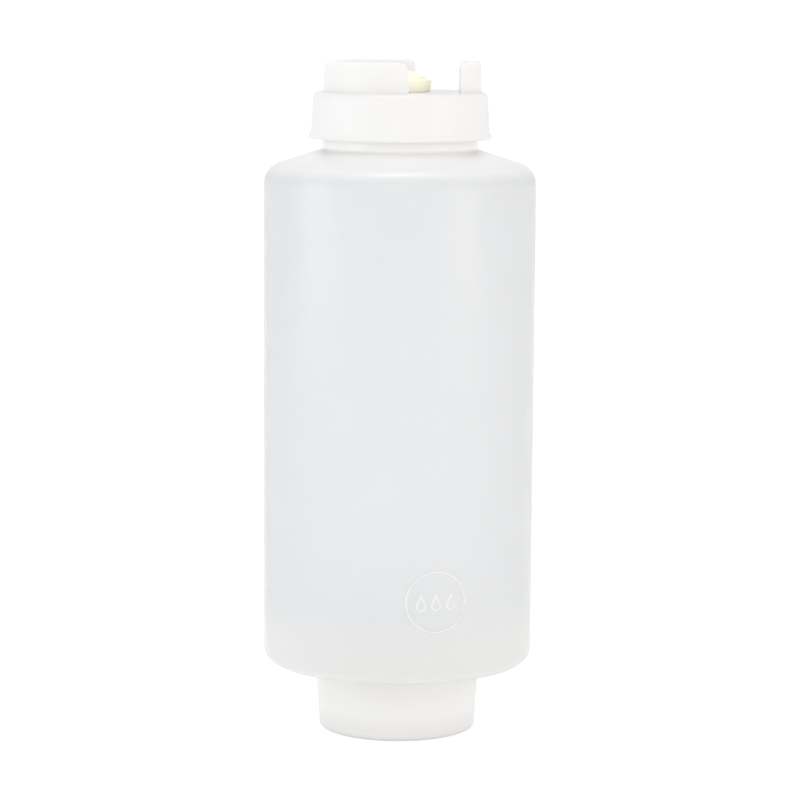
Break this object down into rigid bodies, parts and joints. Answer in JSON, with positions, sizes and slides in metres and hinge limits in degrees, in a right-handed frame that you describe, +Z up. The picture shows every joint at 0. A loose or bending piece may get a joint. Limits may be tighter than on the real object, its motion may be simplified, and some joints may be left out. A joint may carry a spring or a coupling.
{
  "type": "first-in first-out squeeze bottle",
  "caption": "Tall translucent squeeze bottle standing on a smooth refill cap, with a white dispensing cap, silicone valve and guard ring on top.",
  "frame": {"origin": "centre of the refill cap's flat foot, on the bottle's axis", "axes": "+Z up the bottle's axis towards the dispensing cap; -Y is the front, with the raised mark low and to the right of it"},
  "size_m": [0.088, 0.0881, 0.2179],
  "materials": {
    "translucent_plastic": "translucent milky low-density polyethylene, satin",
    "cap_plastic": "natural white moulded cap, slightly translucent, satin",
    "silicone": "cream yellow silicone, satin",
    "foot_plastic": "natural white moulded cap, slightly translucent, satin"
  },
  "bodies": {
    "root": {"bottle": "translucent_plastic", "dispensing_cap": "cap_plastic", "valve": "silicone", "refill_cap": "foot_plastic"}
  },
  "joints": []
}
